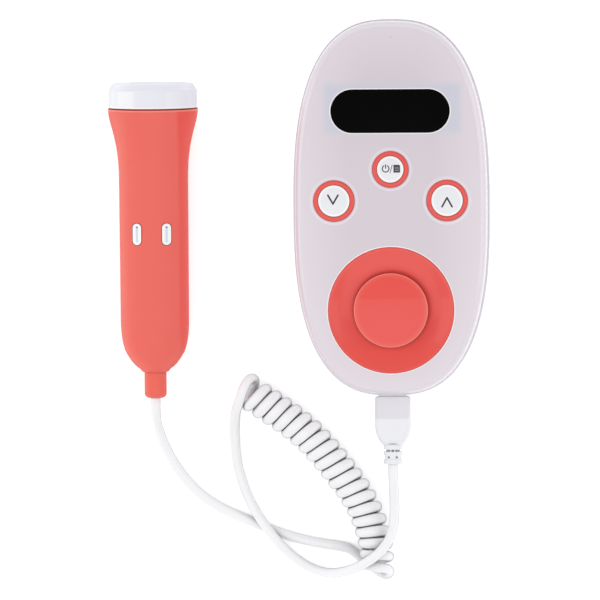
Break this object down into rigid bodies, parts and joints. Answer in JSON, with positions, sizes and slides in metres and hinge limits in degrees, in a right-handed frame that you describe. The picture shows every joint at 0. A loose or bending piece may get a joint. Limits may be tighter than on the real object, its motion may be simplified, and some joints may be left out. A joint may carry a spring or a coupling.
{
  "type": "fetal doppler monitor",
  "caption": "Pocket heartbeat monitor with an oval handheld unit, round keys and a speaker, and a flared probe on a curly cord that plugs in at its end.",
  "frame": {"origin": "centre of the main unit's flat back, on the surface that it lies on", "axes": "+Z out of the display, +Y from the plug end to the display end, +X to the right seen from the front"},
  "size_m": [0.1601, 0.2355, 0.0379],
  "materials": {
    "cover_plastic": "milky translucent, high gloss",
    "shell_plastic": "satin gloss",
    "coral_plastic": "satin gloss",
    "coral_rubber": "satin",
    "white_plastic": "satin gloss",
    "black_plastic": "matte",
    "lens": "polished",
    "module": "polished",
    "driver_metal": "zinc plated",
    "cone_paper": "matte film",
    "circuit_board": "solder mask",
    "cell_can": "printed film over the can",
    "contact_steel": "nickel plated",
    "ceramic": "silvered ceramic",
    "cord_vinyl": "satin vinyl"
  },
  "bodies": {
    "unit": {"front_cover": "cover_plastic", "back_shell": "shell_plastic", "display_lens": "lens", "display_module": "module", "power_key_ring": "coral_plastic", "power_switch": "black_plastic", "down_key_ring": "coral_plastic", "down_switch": "black_plastic", "up_key_ring": "coral_plastic", "up_switch": "black_plastic", "speaker_dish": "coral_plastic", "speaker_cap": "coral_plastic", "speaker_driver": "driver_metal", "speaker_cone": "cone_paper", "main_board": "circuit_board", "battery_cell_1": "cell_can", "battery_cell_2": "cell_can", "battery_spring_1": "contact_steel", "battery_spring_2": "contact_steel", "spring_plate_1": "contact_steel", "spring_plate_2": "contact_steel", "contact_plate_1": "contact_steel", "contact_plate_2": "contact_steel", "housing_screw_1": "contact_steel", "housing_screw_2": "contact_steel", "housing_screw_3": "contact_steel", "housing_screw_4": "contact_steel", "probe_socket": "contact_steel", "socket_insulator": "black_plastic"},
    "power_button": {"power_key": "white_plastic", "power_switch_button": "white_plastic"},
    "down_button": {"down_key": "white_plastic", "down_switch_button": "white_plastic"},
    "up_button": {"up_key": "white_plastic", "up_switch_button": "white_plastic"},
    "sliding_door": {"battery_door": "shell_plastic"},
    "probe_and_cord": {"probe_front_shell": "coral_plastic", "probe_back_shell": "coral_plastic", "insert_left": "white_plastic", "insert_right": "white_plastic", "probe_head_cap": "white_plastic", "transmit_crystal": "ceramic", "receive_crystal": "ceramic", "crystal_holder": "black_plastic", "probe_board": "circuit_board", "tail_sleeve": "coral_rubber", "curly_cord": "cord_vinyl", "probe_lead": "cord_vinyl", "unit_lead": "cord_vinyl", "plug_grip": "cord_vinyl", "plug_shell": "contact_steel", "plug_insulator": "black_plastic"}
  },
  "joints": [
    {"name": "power_press", "type": "slide", "parent": "unit", "child": "power_button", "axis": [0, 0, -1], "range_m": [0, 0.0008], "stiffness_N_per_m": 1000},
    {"name": "down_press", "type": "slide", "parent": "unit", "child": "down_button", "axis": [0, 0, -1], "range_m": [0, 0.0008], "stiffness_N_per_m": 1000},
    {"name": "up_press", "type": "slide", "parent": "unit", "child": "up_button", "axis": [0, 0, -1], "range_m": [0, 0.0008], "stiffness_N_per_m": 1000},
    {"name": "battery_door_slide", "type": "slide", "parent": "unit", "child": "sliding_door", "axis": [0, 1, 0], "range_m": [0, 0.007]},
    {"name": "plug_pull", "type": "slide", "parent": "unit", "child": "probe_and_cord", "axis": [0, -1, 0], "range_m": [0, 0.0126]}
  ]
}
